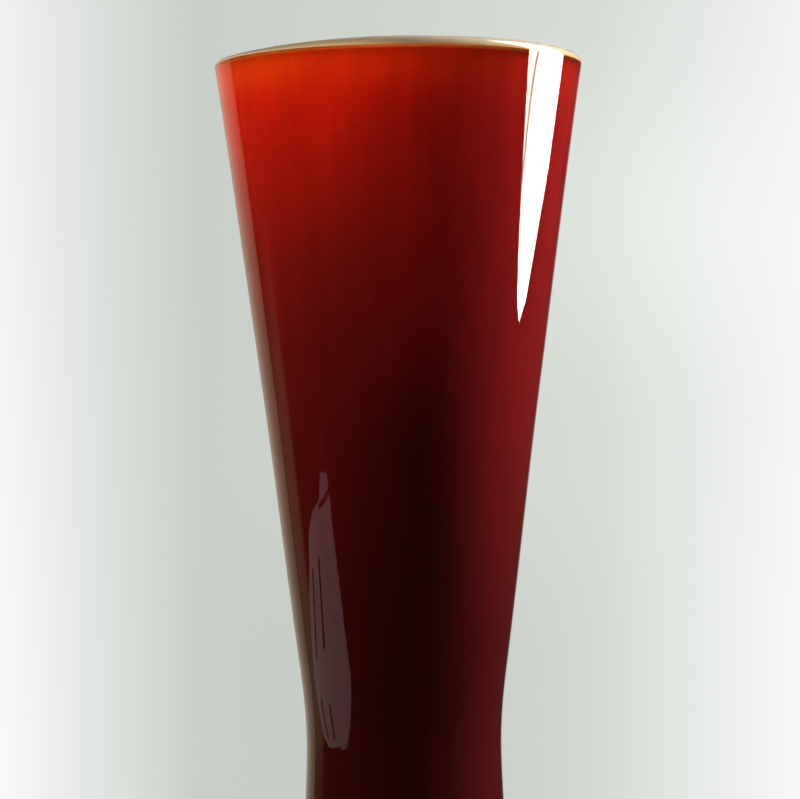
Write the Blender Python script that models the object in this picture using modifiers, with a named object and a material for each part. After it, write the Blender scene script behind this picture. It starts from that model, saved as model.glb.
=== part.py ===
"""Hand-blown cased glass vase with a waisted, trumpet-mouthed body.

The wall is four layers of glass, turned about the Z axis: a thin opal bubble on the inside, a ruby
overlay on it, a thick clear gather outside both, and the fire-polished lip that closes their edges.
Metres, +Z up, origin at the centre of the foot on the surface that the vase stands on.
"""

import math

import bpy

# Driving dimensions
HEIGHT = 0.330
LIP_HEIGHT = 0.0024
LAYER_GAP = 0.0003
CLEAR_WALL = 0.0018
RUBY_WALL = 0.0010
OPAL_WALL = 0.0013

# Outer outline from the lip down to the heel, as stations: height, radius, and slope of radius
# against height. The waist is the station of zero slope, and the last one is the widest of the heel.
LIP_SEAT = HEIGHT - LIP_HEIGHT - LAYER_GAP
STATIONS = (
    (LIP_SEAT, 0.04995, 0.150),
    (0.240, 0.03785, 0.1365),
    (0.165, 0.02837, 0.136),
    (0.143, 0.02657, 0.000),
    (0.128, 0.02705, -0.044),
    (0.060, 0.03110, -0.080),
    (0.010, 0.03600, 0.000),
)

# Base: a rounded heel, a flat ground ring to stand on, and the polished hollow left by the punty
FOOT_RADIUS = 0.0300
HOLLOW_RADIUS = 0.0225
HOLLOW_DEPTH = 0.0025
BASE_THICKNESS = 0.0130
BUBBLE_END_HEIGHT = 0.0160

# Facets
TURN_STEPS = 40
POINTS_PER_SPAN = (2, 2, 3, 2, 2, 3)
HEEL_POINTS = 4
HOLLOW_POINTS = 2
BUBBLE_END_POINTS = 5
LIP_POINTS = 9
MERGE_DISTANCE = 0.00005


def outline_radius(height):
    """The outer radius at a height, by a cubic through the two stations around it."""
    for upper, lower in zip(STATIONS, STATIONS[1:]):
        if height >= lower[0]:
            break
    span = lower[0] - upper[0]
    t = (height - upper[0]) / span
    start = (2 * t**3 - 3 * t**2 + 1) * upper[1] + (t**3 - 2 * t**2 + t) * span * upper[2]
    end = (3 * t**2 - 2 * t**3) * lower[1] + (t**3 - t**2) * span * lower[2]
    return start + end


def heights_down_to(lowest):
    """Heights from the lip seat down to the lowest one, evenly spaced within each span of the outline."""
    heights = [LIP_SEAT]
    for upper, lower, count in zip(STATIONS, STATIONS[1:], POINTS_PER_SPAN):
        bottom = max(lower[0], lowest)
        heights += [upper[0] + (bottom - upper[0]) * (i + 1) / count for i in range(count)]
    return heights


def bubble_surface(inset):
    """Points down a surface that lies inset from the outline and closes in a rounded end on the axis."""
    end_bottom = BASE_THICKNESS + inset - CLEAR_WALL
    end_top = end_bottom + BUBBLE_END_HEIGHT
    points = [(outline_radius(z) - inset, z) for z in heights_down_to(end_top)]
    widest = points[-1][0]
    for i in range(1, BUBBLE_END_POINTS + 1):
        angle = 0.5 * math.pi * i / BUBBLE_END_POINTS
        points.append((widest * math.cos(angle), end_top - BUBBLE_END_HEIGHT * math.sin(angle)))
    return points


def outside_surface():
    """Points down the outside of the vase: the wall, the heel, the foot ring and the punty hollow."""
    heel_top, heel_radius = STATIONS[-1][:2]
    points = [(outline_radius(z), z) for z in heights_down_to(heel_top)]
    for i in range(1, HEEL_POINTS + 1):
        angle = 0.5 * math.pi * i / HEEL_POINTS
        radius = FOOT_RADIUS + (heel_radius - FOOT_RADIUS) * math.cos(angle)
        points.append((radius, heel_top * (1 - math.sin(angle))))
    for i in range(HOLLOW_POINTS + 1):
        radius = HOLLOW_RADIUS * (1 - i / HOLLOW_POINTS)
        points.append((radius, HOLLOW_DEPTH * (1 - (radius / HOLLOW_RADIUS) ** 2)))
    return points


def lip_section():
    """The closed section of the lip: a flat underside and a half-round top, down its outer side."""
    outer = outline_radius(LIP_SEAT)
    inner = outer - CLEAR_WALL - RUBY_WALL - OPAL_WALL - 2 * LAYER_GAP
    middle, half_width = 0.5 * (outer + inner), 0.5 * (outer - inner)
    points = []
    for i in range(LIP_POINTS):
        angle = math.pi * (1 - i / (LIP_POINTS - 1))
        height = HEIGHT - LIP_HEIGHT * (1 - math.sin(angle))
        points.append((middle + half_width * math.cos(angle), height))
    return points


def glass(name, colour, roughness, transmission):
    material = bpy.data.materials.new(name)
    material.use_nodes = True
    shader = material.node_tree.nodes["Principled BSDF"]
    shader.inputs["Base Color"].default_value = (*colour, 1)
    shader.inputs["Roughness"].default_value = roughness
    shader.inputs["Metallic"].default_value = 0
    shader.inputs["IOR"].default_value = 1.52
    shader.inputs["Transmission Weight"].default_value = transmission
    return material


def turned(name, points, closed, material, collection):
    """A solid of revolution about Z from a section in the XZ plane."""
    edges = [(i, i + 1) for i in range(len(points) - 1)]
    if closed:
        edges.append((len(points) - 1, 0))
    mesh = bpy.data.meshes.new(name)
    mesh.from_pydata([(radius, 0, z) for radius, z in points], edges, [])
    mesh.materials.append(material)
    turned_part = bpy.data.objects.new(name, mesh)
    collection.objects.link(turned_part)
    screw = turned_part.modifiers.new("Turn", "SCREW")
    screw.axis = "Z"
    screw.steps = TURN_STEPS
    screw.render_steps = TURN_STEPS
    screw.use_merge_vertices = True
    screw.merge_threshold = MERGE_DISTANCE
    screw.use_smooth_shade = True
    return turned_part


def layer(name, inset, thickness, material, collection):
    """A bubble-shaped shell of one glass layer, open at the lip."""
    outside = bubble_surface(inset)
    inside = bubble_surface(inset + thickness)
    return turned(name, inside[::-1] + outside, False, material, collection)


def build_vase():
    collection = bpy.data.collections.new("cased_glass_vase")
    bpy.context.scene.collection.children.link(collection)

    clear = glass("clear_glass", (0.95, 0.97, 0.96), 0.02, 1.0)
    ruby = glass("ruby_glass", (0.30, 0.012, 0.010), 0.05, 0.2)
    opal = glass("opal_glass", (0.88, 0.85, 0.80), 0.08, 0.1)
    lip = glass("lip_glass", (0.72, 0.62, 0.50), 0.04, 0.4)

    casing = bubble_surface(CLEAR_WALL)[::-1] + outside_surface()
    turned("clear_casing", casing, False, clear, collection)
    ruby_inset = CLEAR_WALL + LAYER_GAP
    layer("ruby_overlay", ruby_inset, RUBY_WALL, ruby, collection)
    layer("opal_lining", ruby_inset + RUBY_WALL + LAYER_GAP, OPAL_WALL, opal, collection)
    turned("fire_polished_lip", lip_section(), True, lip, collection)


for old in list(bpy.data.objects):
    bpy.data.objects.remove(old)
build_vase()
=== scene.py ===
"""The look of a hand-blown cased glass vase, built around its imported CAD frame.

The four fused layers of glass are rebuilt as smooth turned shells: a clear casing that bends light, a
ruby overlay and an opal lining that both let light seep through, and the fire-polished lip.
"""

import math

import bpy
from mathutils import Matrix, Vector


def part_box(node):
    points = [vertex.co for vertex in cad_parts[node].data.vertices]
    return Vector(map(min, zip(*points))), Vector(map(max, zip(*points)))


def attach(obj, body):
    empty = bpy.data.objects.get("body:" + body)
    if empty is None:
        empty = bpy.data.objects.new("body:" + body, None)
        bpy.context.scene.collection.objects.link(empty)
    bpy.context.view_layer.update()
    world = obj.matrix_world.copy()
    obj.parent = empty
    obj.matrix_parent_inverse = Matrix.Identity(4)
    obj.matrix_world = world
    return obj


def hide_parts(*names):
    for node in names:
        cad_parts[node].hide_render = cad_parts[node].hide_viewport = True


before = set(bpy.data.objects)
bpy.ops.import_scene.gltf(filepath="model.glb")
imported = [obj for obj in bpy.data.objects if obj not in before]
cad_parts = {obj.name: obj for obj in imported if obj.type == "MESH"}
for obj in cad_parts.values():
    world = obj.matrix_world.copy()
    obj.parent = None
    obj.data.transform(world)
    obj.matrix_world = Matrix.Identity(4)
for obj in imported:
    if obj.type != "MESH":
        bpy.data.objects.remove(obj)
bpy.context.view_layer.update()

# ---------------------------------------------------------------- the vase, in metres as in the CAD

LIP_LOW, LIP_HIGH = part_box("fire_polished_lip")
HEIGHT = LIP_HIGH[2]
LIP_SEAT = LIP_LOW[2]
STATIONS = (  # height, outer radius, and how fast the radius grows with height
    (LIP_SEAT, 0.04995, 0.150),
    (0.240, 0.03785, 0.1365),
    (0.165, 0.02837, 0.136),
    (0.143, 0.02657, 0.000),
    (0.128, 0.02705, -0.044),
    (0.060, 0.03110, -0.080),
    (0.010, 0.03600, 0.000),
)
CLEAR_WALL = 0.0018
RUBY_WALL = 0.0013
OPAL_WALL = 0.0015
LAYER_GAP = 0.0001
TUCK = 0.0006  # how far the casing reaches inside the ruby, so that no gap shows between them
RUBY_FLARE = 0.0005  # the ruby comes out to the outside of the vase over this much height, under the lip
RUBY_SKIN = 0.00008  # the clear glass that is left outside it there
FOOT_RADIUS = 0.0300
HOLLOW_RADIUS = 0.0225
HOLLOW_DEPTH = 0.0025
BASE_THICKNESS = 0.0130
BUBBLE_END_HEIGHT = 0.0160

TURN_STEPS = 192
WALL_STEPS = 150
BUBBLE_END_STEPS = 24
HEEL_STEPS = 20
HOLLOW_STEPS = 14
FLARE_STEPS = 6
LIP_STEPS = 28


def outline_radius(height):
    """The outer radius at a height, by a cubic through the two stations around it."""
    for upper, lower in zip(STATIONS, STATIONS[1:]):
        if height >= lower[0]:
            break
    span = lower[0] - upper[0]
    t = (height - upper[0]) / span
    start = (2 * t**3 - 3 * t**2 + 1) * upper[1] + (t**3 - 2 * t**2 + t) * span * upper[2]
    end = (3 * t**2 - 2 * t**3) * lower[1] + (t**3 - t**2) * span * lower[2]
    return start + end


def wall_points(inset, lowest):
    """Points down the wall, this far inside the outline, from the lip's seat to the lowest height."""
    step = (LIP_SEAT - lowest) / WALL_STEPS
    heights = [LIP_SEAT - i * step for i in range(WALL_STEPS + 1)]
    return [(outline_radius(z) - inset, z) for z in heights]


def quarter_turn(steps):
    """The cosine and sine of each step round a quarter circle, without its start."""
    angles = [0.5 * math.pi * i / steps for i in range(1, steps + 1)]
    return [(math.cos(angle), math.sin(angle)) for angle in angles]


def bubble_surface(inset):
    """One face of a layer of the bubble: down the wall, then round the closed end to the axis."""
    end_top = BASE_THICKNESS + inset - CLEAR_WALL + BUBBLE_END_HEIGHT
    points = wall_points(inset, end_top)
    widest = points[-1][0]
    for across, down in quarter_turn(BUBBLE_END_STEPS):
        points.append((widest * across, end_top - BUBBLE_END_HEIGHT * down))
    return points


def outside_surface():
    """The outside of the vase: the wall, the rounded heel, and the polished hollow inside the foot ring."""
    heel_top, heel_radius = STATIONS[-1][:2]
    points = wall_points(0, heel_top)
    for across, down in quarter_turn(HEEL_STEPS):
        points.append((FOOT_RADIUS + (heel_radius - FOOT_RADIUS) * across, heel_top * (1 - down)))
    for i in range(HOLLOW_STEPS + 1):
        radius = HOLLOW_RADIUS * (1 - i / HOLLOW_STEPS)
        points.append((radius, HOLLOW_DEPTH * (1 - (radius / HOLLOW_RADIUS) ** 2)))
    return points


def ruby_outside():
    """The ruby's outer surface, which comes up to the outside of the vase just under the lip."""
    points = []
    for i in range(FLARE_STEPS):
        height = LIP_SEAT - RUBY_FLARE * i / FLARE_STEPS
        inset = RUBY_SKIN + (CLEAR_WALL - RUBY_SKIN) * (1 - (1 - i / FLARE_STEPS) ** 2)
        points.append((outline_radius(height) - inset, height))
    return points + bubble_surface(CLEAR_WALL)[1:]


def lip_section():
    """The half-round section of the lip, from its inner edge over the top to its outer edge."""
    outer = outline_radius(LIP_SEAT)
    inner = outer - CLEAR_WALL - RUBY_WALL - LAYER_GAP - OPAL_WALL
    middle, half_width = 0.5 * (outer + inner), 0.5 * (outer - inner)
    points = []
    for i in range(LIP_STEPS + 1):
        angle = math.pi * (1 - i / LIP_STEPS)
        height = LIP_SEAT + (HEIGHT - LIP_SEAT) * math.sin(angle)
        points.append((middle + half_width * math.cos(angle), height))
    return points


def lip_rise(angle):
    """How much of its full height the lip has, around the mouth: hand work leaves it lower on the left."""
    lowest_at, low_reach, low_by = 210, 62, 0.43
    highest_at, tilt = 315, 0.05
    away = abs((math.degrees(angle) - lowest_at + 180) % 360 - 180)
    low = math.cos(math.radians(90 * min(away / low_reach, 1))) ** 2
    return 1 - tilt + tilt * math.cos(angle - math.radians(highest_at)) - low_by * low


def add_object(name, data):
    item = bpy.data.objects.new(name, data)
    bpy.context.scene.collection.objects.link(item)
    return item


def turned(name, points, closed, rise=None):
    """A smooth solid of revolution about Z, from a section that runs down its outer side. Above LIP_SEAT its
    height is scaled by rise(angle), when that's given."""
    vertices, rings, faces = [], [], []
    for radius, z in points:
        if radius < 1e-6:
            rings.append([len(vertices)] * TURN_STEPS)
            vertices.append((0, 0, z))
            continue
        rings.append(list(range(len(vertices), len(vertices) + TURN_STEPS)))
        for k in range(TURN_STEPS):
            angle = 2 * math.pi * k / TURN_STEPS
            height = LIP_SEAT + (z - LIP_SEAT) * rise(angle) if rise else z
            vertices.append((radius * math.cos(angle), radius * math.sin(angle), height))
    pairs = list(zip(rings, rings[1:]))
    if closed:
        pairs.append((rings[-1], rings[0]))
    for upper, lower in pairs:
        for k in range(TURN_STEPS):
            j = (k + 1) % TURN_STEPS
            corners = (upper[k], lower[k], lower[j], upper[j])
            faces.append(list(dict.fromkeys(corners)))  # a face at the axis has three corners
    mesh = bpy.data.meshes.new(name)
    mesh.from_pydata(vertices, [], faces)
    mesh.shade_smooth()
    mesh.set_sharp_from_angle(angle=math.radians(40))
    return add_object(name, mesh)


# ---------------------------------------------------------------- materials

class Nodes:
    """A node tree, with short calls for the nodes used here."""

    def __init__(self, tree):
        self.tree = tree
        tree.nodes.clear()

    def add(self, kind, **values):
        node = self.tree.nodes.new(kind)
        for key, value in values.items():
            setattr(node, key, value)
        return node

    def feed(self, socket, value):
        if isinstance(value, bpy.types.NodeSocket):
            self.tree.links.new(value, socket)
        else:
            socket.default_value = value

    def math(self, operation, *values, clamp=False):
        node = self.add("ShaderNodeMath", operation=operation, use_clamp=clamp)
        for socket, value in zip(node.inputs, values):
            self.feed(socket, value)
        return node.outputs[0]

    def product(self, first, *others):
        for value in others:
            first = self.math("MULTIPLY", first, value)
        return first

    def ramp(self, value, low, high, to_low=0.0, to_high=1.0, smooth=True):
        node = self.add("ShaderNodeMapRange", interpolation_type="SMOOTHSTEP" if smooth else "LINEAR")
        for socket, given in zip(node.inputs, (value, low, high, to_low, to_high)):
            self.feed(socket, given)
        return node.outputs[0]

    def bell(self, value, middle, reach):
        """1 at the middle, easing to 0 at the reach on either side."""
        return self.ramp(self.math("ABSOLUTE", self.math("SUBTRACT", value, middle)), 0.0, reach, 1.0, 0.0)

    def mix(self, factor, a, b, blend="MIX"):
        node = self.add("ShaderNodeMix", data_type="RGBA", blend_type=blend)
        self.feed(node.inputs[0], factor)
        self.feed(node.inputs[6], a)
        self.feed(node.inputs[7], b)
        return node.outputs[2]

    def tinted(self, a, b):
        return self.mix(1.0, a, b, blend="MULTIPLY")

    def scaled(self, vector, factor):
        node = self.add("ShaderNodeVectorMath", operation="SCALE")
        self.feed(node.inputs[0], vector)
        self.feed(node.inputs["Scale"], factor)
        return node.outputs[0]

    def split(self, vector):
        node = self.add("ShaderNodeSeparateXYZ")
        self.feed(node.inputs[0], vector)
        return node.outputs

    def mix_shader(self, factor, a, b):
        node = self.add("ShaderNodeMixShader")
        self.feed(node.inputs[0], factor)
        self.feed(node.inputs[1], a)
        self.feed(node.inputs[2], b)
        return node.outputs[0]

    def transparent(self):
        return self.add("ShaderNodeBsdfTransparent").outputs[0]

    def noise(self, scale, detail, stretch=(1, 1, 1)):
        moved = self.add("ShaderNodeMapping")
        self.feed(moved.inputs["Vector"], self.place)
        moved.inputs["Scale"].default_value = stretch
        texture = self.add("ShaderNodeTexNoise")
        self.feed(texture.inputs["Vector"], moved.outputs[0])
        texture.inputs["Scale"].default_value = scale
        texture.inputs["Detail"].default_value = detail
        return texture.outputs["Fac"]

    def principled(self, base, roughness, **values):
        shader = self.add("ShaderNodeBsdfPrincipled")
        self.feed(shader.inputs["Base Color"], base)
        self.feed(shader.inputs["Roughness"], roughness)
        for name, value in values.items():
            self.feed(shader.inputs[name.replace("_", " ")], value)
        return shader.outputs[0]

    def surface(self, shader):
        self.feed(self.out.inputs["Surface"], shader)

    def glow(self, tint, strength=1.0):
        """Ends a material that only shines."""
        emission = self.add("ShaderNodeEmission")
        self.feed(emission.inputs["Color"], tint)
        self.feed(emission.inputs["Strength"], strength)
        self.surface(emission.outputs[0])

    def seeping_shell(self, front, seep):
        """Ends the material of a closed shell: half its front shader, and half light let through in the
        seep's colour. Light that leaves the shell again isn't stopped a second time."""
        back = self.add("ShaderNodeBsdfTranslucent")
        self.feed(back.inputs["Color"], seep)
        body = self.mix_shader(0.5, front, back.outputs[0])
        leaving = self.add("ShaderNodeNewGeometry").outputs["Backfacing"]
        self.surface(self.mix_shader(leaving, body, self.transparent()))


def colour(red, green, blue):
    return (red, green, blue, 1.0)


def new_material(name):
    material = bpy.data.materials.new(name)
    material.use_nodes = True
    nodes = Nodes(material.node_tree)
    nodes.out = nodes.add("ShaderNodeOutputMaterial")
    nodes.place = nodes.add("ShaderNodeTexCoord").outputs["Object"]
    nodes.x, nodes.y, nodes.z = nodes.split(nodes.place)
    return material, nodes


GLASS_IOR = 1.5
RUBY_EDGE = 0.0008  # the height over which the ruby's end, under the lip, turns orange
LIP_EDGE = 0.0006  # and the same at the foot of the lip


def ruby_grain_and_painted_light(nodes, turn):
    """1 where the red is even. Drawn streaks, cords and a fine grain vary it, and painted light varies it on
    the front: a painted glow left of the middle and along the rim, and painted shade right of the middle."""
    streaks = nodes.noise(260, 4, (1, 1, 0.012))
    cords = nodes.noise(60, 2, (1, 1, 0.05))
    grain = nodes.noise(2600, 1)
    drawn = nodes.math("ADD", nodes.ramp(streaks, 0.3, 0.7, 0.92, 1.05),
                       nodes.ramp(cords, 0.3, 0.7, -0.04, 0.04))
    drawn = nodes.product(drawn, nodes.ramp(grain, 0.25, 0.75, 0.92, 1.08))

    # painted light on the front: thin is a painted glow left of the middle, dense is painted shade right of the
    # middle, and rim is a painted glow along the rim
    thin = nodes.product(nodes.bell(turn, -14.0, 28.0), nodes.ramp(nodes.z, 0.21, 0.26, 0.0, 0.34),
                         nodes.ramp(nodes.z, 0.325, 0.305, 0.3, 1.0))
    dense = nodes.product(nodes.bell(turn, 18.0, 20.0), nodes.ramp(nodes.z, 0.33, 0.30, 0.0, -0.18),
                          nodes.ramp(nodes.z, 0.17, 0.20))
    rim = nodes.product(nodes.bell(turn, 6.0, 36.0), nodes.ramp(nodes.z, 0.308, 0.326, 0.0, 0.42))
    around = nodes.math("ADD", nodes.math("ADD", thin, dense), nodes.math("ADD", rim, 1.0))
    return nodes.product(drawn, around)


def ruby_material():
    """Red glass that scatters: dense at the waist, stretched thin at the mouth, orange where it ends."""
    material, nodes = new_material("ruby_glass")
    turn = nodes.math("DEGREES", nodes.math("ARCTAN2", nodes.x, nodes.product(nodes.y, -1.0)))
    brightness = ruby_grain_and_painted_light(nodes, turn)

    at_waist, opened_out = colour(0.062, 0.0044, 0.0050), colour(0.190, 0.0085, 0.0088)
    at_rim = colour(0.225, 0.0125, 0.0075)
    lit = nodes.mix(nodes.ramp(nodes.z, 0.15, 0.27), at_waist, opened_out)
    lit = nodes.mix(nodes.ramp(nodes.z, 0.30, 0.325), lit, at_rim)

    thinning = nodes.math("POWER", nodes.ramp(nodes.z, 0.222, 0.338, smooth=False), 1.35)
    seep = nodes.mix(thinning, colour(0.040, 0.0010, 0.0010), colour(0.80, 0.014, 0.0003))
    # painted light: under the rim the seep is painted more amber on the left of the vase, where the glow
    # through the mouth shows
    painted_left_amber, scarlet, edge = colour(0.73, 0.054, 0.0004), colour(0.73, 0.031, 0.0006), colour(0.80, 0.25, 0.05)
    glow = nodes.mix(nodes.ramp(turn, -50.0, -22.0), painted_left_amber, scarlet)
    seep = nodes.mix(nodes.ramp(nodes.z, 0.314, 0.3268), seep, glow)
    seep = nodes.mix(nodes.ramp(nodes.z, LIP_SEAT - RUBY_EDGE, LIP_SEAT), seep, edge)

    front = nodes.principled(nodes.scaled(lit, brightness), 0.5, Specular_IOR_Level=0.0)
    nodes.seeping_shell(front, nodes.scaled(seep, brightness))
    return material


def opal_material():
    """Milky white glass, glossy on the inside of the vase."""
    material, nodes = new_material("opal_glass")
    cloud = nodes.noise(45, 4, (1, 1, 0.2))
    base = nodes.mix(nodes.ramp(cloud, 0.3, 0.7), colour(0.86, 0.82, 0.76), colour(0.92, 0.90, 0.86))
    nodes.seeping_shell(nodes.principled(base, 0.08, Specular_IOR_Level=0.5, IOR=GLASS_IOR), base)
    return material


def casing_material():
    """Colourless gloss that bends what is seen through it and lets lamps light the layers below."""
    material, nodes = new_material("clear_glass")
    swell = nodes.noise(18, 0, (1, 1, 0.5))
    draw = nodes.noise(300, 2, (1, 1, 0.01))
    bump = nodes.add("ShaderNodeBump")
    bump.inputs["Strength"].default_value = 0.03
    bump.inputs["Distance"].default_value = 0.002
    nodes.feed(bump.inputs["Height"], nodes.math("ADD", swell, nodes.product(draw, 0.01)))
    smudge = nodes.ramp(nodes.noise(90, 3, (1, 1, 0.5)), 0.3, 0.8, 0.0, 0.02)
    gloss = nodes.principled(colour(0.97, 0.985, 0.975), smudge, Transmission_Weight=1.0, IOR=GLASS_IOR,
                             Normal=bump.outputs[0])
    path = nodes.add("ShaderNodeLightPath")
    lets_by = nodes.math("MAXIMUM", path.outputs["Is Shadow Ray"], path.outputs["Is Diffuse Ray"])
    nodes.surface(nodes.mix_shader(lets_by, gloss, nodes.transparent()))
    return material


def lip_material():
    """The rounded lip: cream glass that light seeps through, cooler on the left, orange at its foot."""
    material, nodes = new_material("lip_glass")
    rise = nodes.ramp(nodes.z, LIP_SEAT, HEIGHT)
    cloud = nodes.ramp(nodes.noise(120, 3, (1, 1, 0.4)), 0.3, 0.7, 0.9, 1.1)
    cooler = nodes.mix(nodes.ramp(nodes.x, -0.042, -0.004), colour(0.55, 0.70, 0.92), colour(1.0, 1.0, 1.0))
    base = nodes.tinted(nodes.mix(rise, colour(0.72, 0.58, 0.38), colour(0.60, 0.57, 0.50)), cooler)
    seep = nodes.tinted(nodes.mix(rise, colour(0.42, 0.33, 0.20), colour(0.26, 0.25, 0.21)), cooler)
    base = nodes.mix(nodes.ramp(nodes.z, LIP_SEAT, LIP_SEAT + LIP_EDGE), colour(0.75, 0.28, 0.06), base)
    front = nodes.principled(base, 0.05, Specular_IOR_Level=0.5, IOR=GLASS_IOR)
    nodes.seeping_shell(front, nodes.scaled(seep, cloud))
    return material


def add_piece(name, points, closed, material, node, rise=None):
    piece = turned(name, points, closed, rise)
    piece.data.materials.append(material)
    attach(piece, "root")
    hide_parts(node)


def build_vase():
    casing = bubble_surface(CLEAR_WALL + TUCK)[::-1] + outside_surface()
    add_piece("clear_casing_glass", casing, False, casing_material(), "clear_casing")
    ruby = bubble_surface(CLEAR_WALL + RUBY_WALL)[::-1] + ruby_outside()
    add_piece("ruby_overlay_glass", ruby, False, ruby_material(), "ruby_overlay")
    inset = CLEAR_WALL + RUBY_WALL + LAYER_GAP
    opal = bubble_surface(inset + OPAL_WALL)[::-1] + bubble_surface(inset)
    add_piece("opal_lining_glass", opal, False, opal_material(), "opal_lining")
    add_piece("fire_polished_lip_glass", lip_section(), True, lip_material(), "fire_polished_lip",
              lip_rise)


# ---------------------------------------------------------------- the studio

# Directions in the world: the turn to the right of straight behind the vase, and the rise, in degrees.
BACKDROP_LEFT = -50.5
BACKDROP_RIGHT = 12.0
BACKDROP_BRIGHTEST = -22.0
BACKDROP_DIM = -5.0
BACKDROP_TOP = 80
ROOM = colour(0.026, 0.022, 0.022)
BACKDROP_TONES = (  # from 10 degrees left of the middle to 10 degrees right, as the camera sees it
    (0.0, (0.93, 0.93, 0.93)), (0.09, (0.87, 0.875, 0.87)), (0.20, (0.70, 0.73, 0.70)),
    (0.29, (0.585, 0.62, 0.58)), (0.50, (0.63, 0.66, 0.62)), (0.71, (0.68, 0.725, 0.675)),
    (0.84, (0.80, 0.82, 0.80)), (0.92, (0.88, 0.89, 0.88)), (1.0, (0.93, 0.93, 0.93)),
)


def mirrored_studio(nodes, turn, rise):
    """What lights the vase and is mirrored in it: a pale backdrop, low light past its left edge, and a room."""
    backdrop = nodes.product(
        nodes.ramp(turn, BACKDROP_LEFT - 1.5, BACKDROP_LEFT + 1.5),
        nodes.ramp(turn, BACKDROP_RIGHT + 6, BACKDROP_RIGHT),
        nodes.ramp(rise, BACKDROP_TOP, BACKDROP_TOP - 20),
        nodes.ramp(turn, BACKDROP_LEFT, BACKDROP_BRIGHTEST, 0.74, 1.0),
        nodes.ramp(turn, BACKDROP_BRIGHTEST, BACKDROP_DIM, 1.0, 0.70),
    )
    low_side = nodes.product(nodes.ramp(turn, -72.0, -66.0), nodes.ramp(turn, -50.0, -54.0),
                             nodes.ramp(rise, -3.0, -9.0, 0.0, 0.42))
    golden, sand, grey = colour(0.60, 0.48, 0.27), colour(0.60, 0.50, 0.38), colour(0.58, 0.52, 0.44)
    pale = nodes.mix(nodes.ramp(turn, BACKDROP_LEFT, -34.0), golden, sand)
    pale = nodes.mix(nodes.ramp(turn, -24.0, -8.0), pale, grey)
    return nodes.mix(nodes.math("MAXIMUM", backdrop, low_side), ROOM, pale)


def seen_backdrop(nodes, turn, rise):
    """What the camera sees behind the vase: near white at the sides and greyer behind the vase."""
    shade = nodes.add("ShaderNodeValToRGB")
    nodes.feed(shade.inputs[0], nodes.ramp(turn, -10.0, 10.0, smooth=False))
    elements = shade.color_ramp.elements
    while len(elements) < len(BACKDROP_TONES):
        elements.new(0.5)
    for element, (position, tone) in zip(elements, BACKDROP_TONES):
        element.position = position
        element.color = colour(*tone)
    outward = nodes.ramp(nodes.math("ABSOLUTE", turn), 3.0, 9.0)
    lower = nodes.product(outward, nodes.ramp(rise, 8.0, -8.0, 0.0, 0.07))
    lift = nodes.product(nodes.bell(turn, 5.0, 5.0), nodes.bell(rise, 3.8, 4.6), 0.10)
    dip = nodes.product(nodes.bell(turn, 0.5, 6.5), nodes.ramp(rise, -1.0, -5.5, 0.0, -0.09))
    change = nodes.math("ADD", lower, nodes.math("ADD", lift, dip))
    return nodes.scaled(shade.outputs[0], nodes.math("ADD", change, 1.0))


def build_world():
    """Light by direction: a pale backdrop behind and to the left, and a dim room everywhere else."""
    world = bpy.data.worlds.new("studio")
    bpy.context.scene.world = world
    world.use_nodes = True
    nodes = Nodes(world.node_tree)
    out = nodes.add("ShaderNodeOutputWorld")
    x, y, z = nodes.split(nodes.add("ShaderNodeTexCoord").outputs["Generated"])
    turn = nodes.math("DEGREES", nodes.math("ARCTAN2", x, y))
    rise = nodes.math("DEGREES", nodes.math("ARCSINE", z))
    path = nodes.add("ShaderNodeLightPath")
    sees = nodes.math("SUBTRACT", path.outputs["Is Transmission Ray"], path.outputs["Is Diffuse Ray"],
                      clamp=True)
    sees = nodes.math("MAXIMUM", path.outputs["Is Camera Ray"], sees)
    light = nodes.mix(sees, mirrored_studio(nodes, turn, rise), seen_backdrop(nodes, turn, rise))
    background = nodes.add("ShaderNodeBackground")
    nodes.feed(background.inputs["Color"], light)
    nodes.feed(out.inputs["Surface"], background.outputs[0])


FLOOR_RADIUS = 0.80
FLOOR_CORNERS = 96
FLOOR_DROP = 0.0002  # keeps the floor clear of the foot


def build_floor():
    """A pale floor that fades into the backdrop, sooner where the vase mirrors it."""
    mesh = bpy.data.meshes.new("floor")
    angles = [2 * math.pi * k / FLOOR_CORNERS for k in range(FLOOR_CORNERS)]
    ring = [(FLOOR_RADIUS * math.cos(angle), FLOOR_RADIUS * math.sin(angle), -FLOOR_DROP) for angle in angles]
    mesh.from_pydata(ring, [], [list(range(FLOOR_CORNERS))])
    floor = add_object("floor", mesh)
    material, nodes = new_material("floor_pale")
    away = nodes.add("ShaderNodeVectorMath", operation="LENGTH")
    nodes.feed(away.inputs[0], nodes.place)
    paint = nodes.ramp(nodes.noise(900, 2), 0.3, 0.7)
    base = nodes.mix(paint, colour(0.33, 0.35, 0.37), colour(0.35, 0.37, 0.39))
    # the floor glows faintly: painted light that keeps the shadow under the vase from going black
    pale = nodes.principled(base, 0.7, Emission_Color=colour(1.0, 1.0, 0.98), Emission_Strength=0.10)
    mirrored = nodes.add("ShaderNodeLightPath").outputs["Is Glossy Ray"]
    fades_from = nodes.ramp(mirrored, 0.0, 1.0, 0.35, 0.12)
    gone_by = nodes.ramp(mirrored, 0.0, 1.0, 0.78, 0.30)
    fade = nodes.ramp(away.outputs["Value"], fades_from, gone_by)
    nodes.surface(nodes.mix_shader(fade, pale, nodes.transparent()))
    mesh.materials.append(material)
    floor.visible_diffuse = False


def stage_panel(name, corners, material, glossy_only=False):
    """A flat piece of the studio that the camera doesn't see."""
    mesh = bpy.data.meshes.new(name)
    mesh.from_pydata(corners, [], [list(range(len(corners)))])
    mesh.materials.append(material)
    panel = add_object(name, mesh)
    panel.visible_camera = False
    if glossy_only:
        panel.visible_diffuse = False
        panel.visible_transmission = False
        panel.visible_shadow = False


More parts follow.
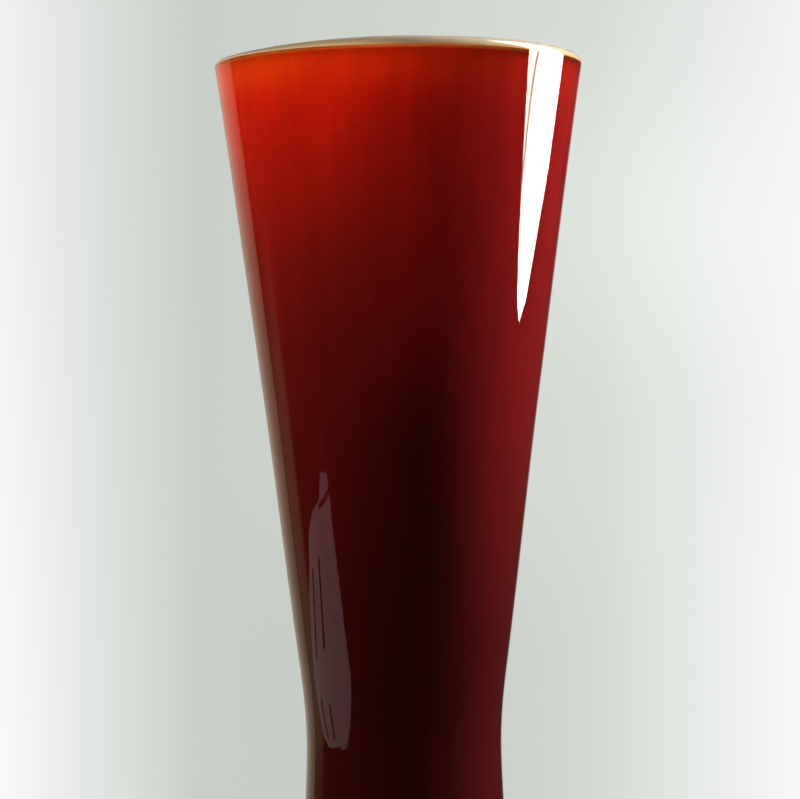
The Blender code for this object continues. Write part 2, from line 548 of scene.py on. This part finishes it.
WINDOW_DISTANCE = 1.0
WINDOW_TOP = 1.90
WINDOW_SILL = (  # towards the back, and height
    (-0.058, 0.245), (0.000, 0.207), (0.080, 0.158), (0.150, 0.133), (0.240, 0.125),
    (0.350, 0.148), (0.480, 0.204), (0.590, 0.248), (0.665, 0.326),
)
BAR_LINE = ((0.026, 0.190), (0.034, 0.235), (0.056, 0.252), (0.100, 0.272), (0.112, 0.278))
BAR_HALF_WIDTH = 0.013
BAR_STANDOFF = 0.01


def daylight_strength(nodes):
    """Brightest above the middle of the window, where the sky is, and dimmer towards the back. Where the vase
    mirrors it, the far side is the brighter one, and its last edge is dark."""
    skyward = nodes.product(nodes.ramp(nodes.z, 0.33, 0.70, 17.5, 34.0),
                            nodes.ramp(nodes.z, 1.0, 2.2, 1.0, 0.6),
                            nodes.ramp(nodes.y, 0.10, 0.60, 1.0, 0.62))
    across = nodes.product(nodes.ramp(nodes.y, 0.0, 0.30, 1.25, 1.8),
                           nodes.ramp(nodes.y, 0.665, 0.60, 0.03, 1.0))
    mirrored = nodes.add("ShaderNodeLightPath").outputs["Is Glossy Ray"]
    extra = nodes.product(mirrored, nodes.math("SUBTRACT", across, 1.0))
    return nodes.product(skyward, nodes.math("ADD", extra, 1.0))


def build_window():
    """A tall window to the right, with a scalloped sill and one thin slanting bar."""
    outline = [(WINDOW_SILL[0][0], WINDOW_TOP), *WINDOW_SILL, (WINDOW_SILL[-1][0], WINDOW_TOP)]
    sky, nodes = new_material("daylight")
    tint = nodes.mix(nodes.ramp(nodes.y, 0.05, 0.30), colour(1.0, 0.93, 0.80), colour(1.0, 0.965, 0.88))
    nodes.glow(tint, daylight_strength(nodes))
    stage_panel("window", [(WINDOW_DISTANCE, y, z) for y, z in outline], sky)

    bar = [(y + BAR_HALF_WIDTH, z) for y, z in BAR_LINE]
    bar += [(y - BAR_HALF_WIDTH, z) for y, z in reversed(BAR_LINE)]
    pane_edge, nodes = new_material("window_bar")
    nodes.glow(colour(2.6, 6.0, 4.4))
    corners = [(WINDOW_DISTANCE - BAR_STANDOFF, y, z) for y, z in bar]
    stage_panel("window_bar", corners, pane_edge, glossy_only=True)


CLOTH_OUTLINE = (
    (-0.40, -0.240), (-0.62, -0.288), (-0.92, -0.335), (-1.00, -0.220), (-0.97, -0.150),
    (-1.02, 0.030), (-1.00, 0.170), (-0.83, 0.290), (-0.67, 0.330), (-0.40, 0.400),
)
DARK_STRIPS = (  # start, end and width
    ((-0.64, 0.04), (-0.86, -0.02), 0.035),
    ((-0.65, 0.22), (-0.88, 0.14), 0.030),
    ((-0.86, -0.34), (-0.95, -0.13), 0.016),
)
DARK_STRIP_HEIGHT = 0.002


def build_cloth():
    """A pale cloth with dark strips on it, on the table at the left, which the waist of the vase mirrors."""
    cloth, nodes = new_material("table_cloth")
    rosy, cream = colour(0.80, 0.52, 0.57), colour(0.62, 0.58, 0.50)
    nodes.glow(nodes.mix(nodes.ramp(nodes.y, -0.30, 0.15), rosy, cream))
    stage_panel("table_cloth", [(x, y, 0.0) for x, y in CLOTH_OUTLINE], cloth, glossy_only=True)

    dark, nodes = new_material("table_dark_strip")
    nodes.glow(colour(0.10, 0.03, 0.04))
    for number, (start, end, width) in enumerate(DARK_STRIPS, 1):
        start, end = Vector(start), Vector(end)
        along = (end - start).normalized()
        across = Vector((-along.y, along.x)) * width / 2
        corners = [(x, y, DARK_STRIP_HEIGHT)
                   for x, y in (start - across, start + across, end + across, end - across)]
        stage_panel(f"table_dark_strip_{number}", corners, dark, glossy_only=True)


def build_fill():
    """A broad soft lamp at the left, hidden from reflections so that it leaves no highlight."""
    lamp = bpy.data.lights.new("fill", "AREA")
    lamp.shape = "DISK"
    lamp.size = 0.7
    lamp.energy = 16.0
    lamp.color = (1.0, 0.80, 0.35)
    holder = add_object("fill", lamp)
    holder.location = (-1.25, -0.20, 0.20)
    aim = Vector((0, 0, 0.18)) - holder.location
    holder.rotation_euler = aim.to_track_quat("-Z", "Y").to_euler()
    holder.visible_glossy = False
    holder.visible_transmission = False


CAMERA_PLACE = (-0.0003, -0.748, HEIGHT - 0.0931)
CAMERA_ROLL = 0.504
LENS = 123.26
SENSOR_WIDTH = 36.0


def build_camera():
    """A level camera in front of the vase, a little below the lip."""
    camera = bpy.data.cameras.new("camera")
    camera.sensor_width = SENSOR_WIDTH
    camera.lens = LENS
    holder = add_object("camera", camera)
    holder.location = CAMERA_PLACE
    holder.rotation_euler = (math.radians(90), math.radians(CAMERA_ROLL), 0)
    bpy.context.scene.camera = holder


bpy.context.scene.view_settings.view_transform = "Standard"
build_camera()
build_vase()
build_world()
build_floor()
build_window()
build_cloth()
build_fill()
